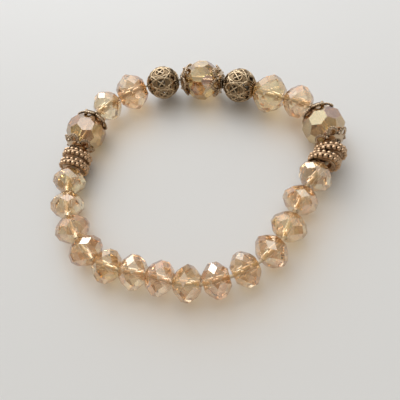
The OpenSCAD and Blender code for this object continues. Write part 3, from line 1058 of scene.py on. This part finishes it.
@dataclass
class OpenworkBeads:
    """The two pierced metal beads, with wires crossed over their eyes.

    lace gives each set of wires its tilt in degrees, how far from the bore it is cut off, and its turn
    in degrees.
    """

    plan: StrandPlan
    effects: Effects
    wire_d: float = 0.36
    wire_r: float = 4.07
    eyes: int = 8
    lace: tuple[tuple[float, float, float], ...] = (
        (48, 2.4, 0), (-48, 2.4, 0), (74, 2.9, 22.5), (-74, 2.9, 22.5),
    )
    ribs: int = 24
    rib_r: float = 0.17
    rib_stretch: float = 4.4
    rib_ball: float = 4.2
    rib_angle: float = 26.0
    plate: PlateFinish = PlateFinish(
        "openwork_plate", recess=(0.03, 0.019, 0.008), raised=(0.34, 0.24, 0.14), reach=0.9
    )
    bright: PlateFinish = PlateFinish(
        "lace_plate", recess=(0.04, 0.026, 0.011), raised=(0.7, 0.54, 0.35), reach=0.5, rough=(0.5, 0.2)
    )

    def _crossed_wires(self) -> Object:
        """Arcs that lean both ways through every eye, from one end's holes to the other's."""
        parts = []
        for tilt, reach, turn in self.lace:
            wire = Bench.wire_ring(self.wire_r, self.wire_d / 2, (96, 10))
            bpy.ops.object.mode_set(mode="EDIT")
            bpy.ops.mesh.select_all(action="SELECT")
            bpy.ops.mesh.bisect(
                plane_co=(reach * MM, 0, 0), plane_no=(1, 0, 0), clear_inner=True, use_fill=True
            )
            bpy.ops.object.mode_set(mode="OBJECT")
            across = turned(turn, "Z")
            Bench.set_mesh(wire, across @ turned(tilt, "X"))
            parts.append(Bench.tidy(Bench.ring(wire, self.eyes)))
        return Bench.join("crossed_wires", parts)

    def _end_ribs(self) -> Object:
        """Short ribs that run in to the collar at each end."""
        parts = []
        for end in (-1, 1):
            rib = Bench.start(
                bpy.ops.mesh.primitive_uv_sphere_add, segments=10, ring_count=8, radius=self.rib_r * MM,
            )
            rib.scale = (1.0, 1.0, self.rib_stretch)
            lean = turned(90, "Y")
            lift = Matrix.Translation((0, 0, self.rib_ball * MM))
            tip = turned(self.rib_angle, "Y")
            flip = turned(0 if end > 0 else 180, "X")
            Bench.set_mesh(rib, flip @ tip @ lift @ lean)
            parts.append(Bench.tidy(Bench.ring(rib, self.ribs)))
        return Bench.join("end_ribs", parts)

    def build(self) -> int:
        """Dresses the pierced shells and lays the wires over them.

        Returns:
            How many beads there are.
        """
        plate = self.plate.material(self.effects)
        bright = self.bright.material(self.effects)
        pattern = Bench.join("openwork_pattern", [self._crossed_wires(), self._end_ribs()])
        rows = [i for i, p in enumerate(STRAND) if p.kind is Kind.OPENWORK]
        for i in rows:
            dress(STRAND[i].name, plate)
            name = STRAND[i].name.replace("openwork_bead", "openwork_wires")
            Bench.copy_to(pattern, name, self.plan.place(i), "openwork_metal", bright)
        bpy.data.objects.remove(pattern)
        return len(rows)


@dataclass
class Spacers:
    """The four granulated spacers, with smooth wires between and beside their rows of granules."""

    plan: StrandPlan
    effects: Effects
    ring_r: float = 3.4
    ring_d: float = 0.44
    face_r: float = 2.4
    face_wire_r: float = 0.2
    face_z: float = 0.74
    plate: PlateFinish = PlateFinish(
        "spacer_plate", recess=(0.045, 0.026, 0.013), raised=(0.66, 0.45, 0.28), reach=0.9, rough=(0.5, 0.28)
    )

    def _wires(self) -> Object:
        """A wire round the middle, and a finer one round each face."""
        parts = [Bench.tidy(Bench.wire_ring(self.ring_r, self.ring_d / 2, (64, 12)))]
        for end in (-1, 1):
            face = Bench.wire_ring(self.face_r, self.face_wire_r, (48, 10), end * self.face_z)
            parts.append(Bench.tidy(face))
        return Bench.join("spacer_wires_pattern", parts)

    def build(self) -> int:
        """Dresses the spacers and sets the wires on them.

        Returns:
            How many there are.
        """
        plate = self.plate.material(self.effects)
        pattern = self._wires()
        rows = [i for i, p in enumerate(STRAND) if p.kind is Kind.SPACER]
        for i in rows:
            dress(STRAND[i].name, plate)
            name = STRAND[i].name.replace("spacer", "spacer_wires")
            Bench.copy_to(pattern, name, self.plan.place(i), "spacer_metal", plate)
        bpy.data.objects.remove(pattern)
        return len(rows)


@dataclass
class BoreWalls:
    """The ground walls of the drilled holes in the glass.

    short is how much shorter a wall is than its bead, and focal_len is a focal bead without its caps.
    """

    plan: StrandPlan
    effects: Effects
    outer_r: float = 0.66
    wall: float = 0.1
    short: float = 0.4
    focal_len: float = 9.2
    finish: GroundFinish = GroundFinish("ground_bore", (1.0, 0.96, 0.86))

    def _sleeve(self, length: float) -> Object:
        """A thin open sleeve along +Z with softened rims."""
        sleeve = Bench.start(
            bpy.ops.mesh.primitive_cylinder_add, vertices=32, radius=self.outer_r * MM, depth=length * MM,
            end_fill_type="NOTHING",
        )
        Bench.apply(sleeve, "SOLIDIFY", thickness=self.wall * MM, offset=-1.0)
        Bench.apply(sleeve, "BEVEL", width=self.wall * MM / 4, segments=2, limit_method="ANGLE")
        return Bench.tidy(sleeve)

    def build(self) -> int:
        """Sets a sleeve in every glass bead.

        Returns:
            How many there are.
        """
        wall = self.finish.material(self.effects)
        glass = (Kind.CRYSTAL, Kind.LONG, Kind.WIDE, Kind.FOCAL)
        rows = [i for i, p in enumerate(STRAND) if p.kind in glass]
        for i in rows:
            focal = STRAND[i].kind is Kind.FOCAL
            length = (self.focal_len if focal else self.plan.lengths[STRAND[i].kind]) - self.short
            pattern = self._sleeve(length)
            slot = "focal_glass" if focal else "crystal_glass"
            Bench.copy_to(pattern, f"bore_wall_{STRAND[i].name}", self.plan.place(i), slot, wall)
            bpy.data.objects.remove(pattern)
        return len(rows)


@dataclass
class Thread:
    """The clear elastic thread."""

    effects: Effects
    # The thread's warm tint is painted light: clear elastic has little colour of its own, and the tint stands
    # in for the warm light it takes from the glass around it.
    finish: ElasticFinish = ElasticFinish("clear_elastic", (1.0, 0.9, 0.72))

    def build(self) -> int:
        """Dresses the thread.

        Returns:
            How many threads there are.
        """
        dress("elastic_thread", self.finish.material(self.effects))
        return 1


@dataclass(frozen=True)
class Lamp:
    """A soft oblong light, seen from the bracelet: its direction, and its distance and size in metres."""

    name: str
    towards: Xyz
    distance: float
    size: Span
    watts: float
    colour: Rgb


@dataclass
class Setting:
    """The table, the light and the camera."""

    effects: Effects
    camera_at: Xyz = (21.416, -56.249, 98.29)
    looks_along: Xyz = (-0.1831, 0.4485, -0.8748)
    image_right: Xyz = (0.9831, 0.0835, -0.1629)
    lens: float = 41.85
    film_width: float = 36.0
    clip: Span = (0.001, 10.0)
    room: Rgb = (0.33, 0.3, 0.26)
    glow: Rgb = (1.9, 1.92, 1.97)
    glow_band: Span = (0.56, 0.96)
    window: Lamp = Lamp(
        "window", towards=(-0.268, 0.727, 0.6), distance=0.5, size=(0.28, 0.22), watts=0.5,
        colour=(0.95, 0.98, 1.0),
    )
    ceiling: Lamp = Lamp(
        "ceiling", towards=(0.5, 0.3, 1.0), distance=0.9, size=(0.7, 0.7), watts=0.5,
        colour=(0.97, 0.985, 1.0),
    )
    glossy_bounces: int = 12
    max_bounces: int = 20
    table_size: float = 1.6
    table_cuts: int = 7
    table_depth: float = 0.012
    # far is painted lighter than near: painted light from the window.
    table: TableFinish = TableFinish("pale_table_painted_light", near=(0.76, 0.76, 0.745), far=(0.84, 0.845, 0.84))

    def _camera(self) -> None:
        """The camera, where the photograph was taken from."""
        data = bpy.data.cameras.new("view_camera")
        data.lens = self.lens
        data.sensor_width = self.film_width
        data.clip_start, data.clip_end = self.clip
        camera = bpy.data.objects.new("view_camera", data)
        bpy.context.scene.collection.objects.link(camera)
        back = -Vector(self.looks_along).normalized()
        right = Vector(self.image_right).normalized()
        up = back.cross(right)
        turn = Matrix((right, up, back)).transposed().to_4x4()
        camera.matrix_world = Matrix.Translation(Vector(self.camera_at) * MM) @ turn
        bpy.context.scene.camera = camera

    @staticmethod
    def _light(lamp: Lamp) -> None:
        """Adds a soft light that faces the bracelet."""
        data = bpy.data.lights.new(lamp.name, "AREA")
        data.shape = "RECTANGLE"
        data.size, data.size_y = lamp.size
        data.energy = lamp.watts
        data.color = lamp.colour
        light = bpy.data.objects.new(lamp.name, data)
        bpy.context.scene.collection.objects.link(light)
        way = Vector(lamp.towards).normalized()
        light.location = way * lamp.distance
        light.rotation_euler = way.to_track_quat("Z", "Y").to_euler()

    def _world(self) -> None:
        """A dim warm room that is brighter towards its window."""
        world = bpy.data.worlds.new("studio")
        world.use_nodes = True
        bpy.context.scene.world = world
        n = Nodes(world.node_tree)
        coords = n.add("TexCoord")
        ahead = n.add("VectorMath")
        ahead.operation = "DOT_PRODUCT"
        n.link(coords.outputs["Generated"], ahead.inputs[0])
        ahead.inputs[1].default_value = Vector(self.window.towards).normalized()
        colour = n.mix(n.ramp(ahead.outputs["Value"], *self.glow_band), self.room, self.glow)
        n.link(colour, world.node_tree.nodes["Background"].inputs["Color"])
        world.node_tree.nodes["Background"].inputs["Strength"].default_value = 1.0

    def _table(self) -> None:
        """A broad plain table top."""
        top = Bench.start(bpy.ops.mesh.primitive_plane_add, size=self.table_size)
        bpy.ops.object.mode_set(mode="EDIT")
        bpy.ops.mesh.subdivide(number_cuts=self.table_cuts)
        bpy.ops.mesh.extrude_region_move(TRANSFORM_OT_translate={"value": (0, 0, -self.table_depth)})
        bpy.ops.mesh.select_all(action="SELECT")
        bpy.ops.mesh.normals_make_consistent(inside=False)
        bpy.ops.object.mode_set(mode="OBJECT")
        lift = -max(v.co.z for v in top.data.vertices)
        Bench.set_mesh(top, Matrix.Translation((0, 0, lift)))
        top.name = "table_top"
        top.data.materials.append(self.table.material(self.effects))

    def build(self) -> int:
        """Sets up the table, the light and the camera.

        Returns:
            How many lights there are.
        """
        self._camera()
        self._table()
        self._world()
        lamps = (self.window, self.ceiling)
        for lamp in lamps:
            self._light(lamp)
        bpy.context.scene.view_settings.view_transform = "Standard"
        bpy.context.scene.cycles.glossy_bounces = self.glossy_bounces
        bpy.context.scene.cycles.max_bounces = self.max_bounces
        return len(lamps)


def main() -> None:
    """Dresses the whole bracelet and reports each step."""
    logging.basicConfig(level=logging.INFO, format="%(message)s")
    plan = StrandPlan()
    LOG.info("strand: %.1f mm, route stretched by %.4f", plan.length, plan.scale)
    effects = Effects()
    LOG.info("setting: %d lights", Setting(effects).build())
    LOG.info("crystals: %d", CrystalStrand(effects).build())
    LOG.info("caps: %d", FocalBeads(plan, effects).build())
    LOG.info("openwork beads: %d", OpenworkBeads(plan, effects).build())
    LOG.info("spacers: %d", Spacers(plan, effects).build())
    LOG.info("bore walls: %d", BoreWalls(plan, effects).build())
    LOG.info("threads: %d", Thread(effects).build())


if __name__ == "__main__":
    main()
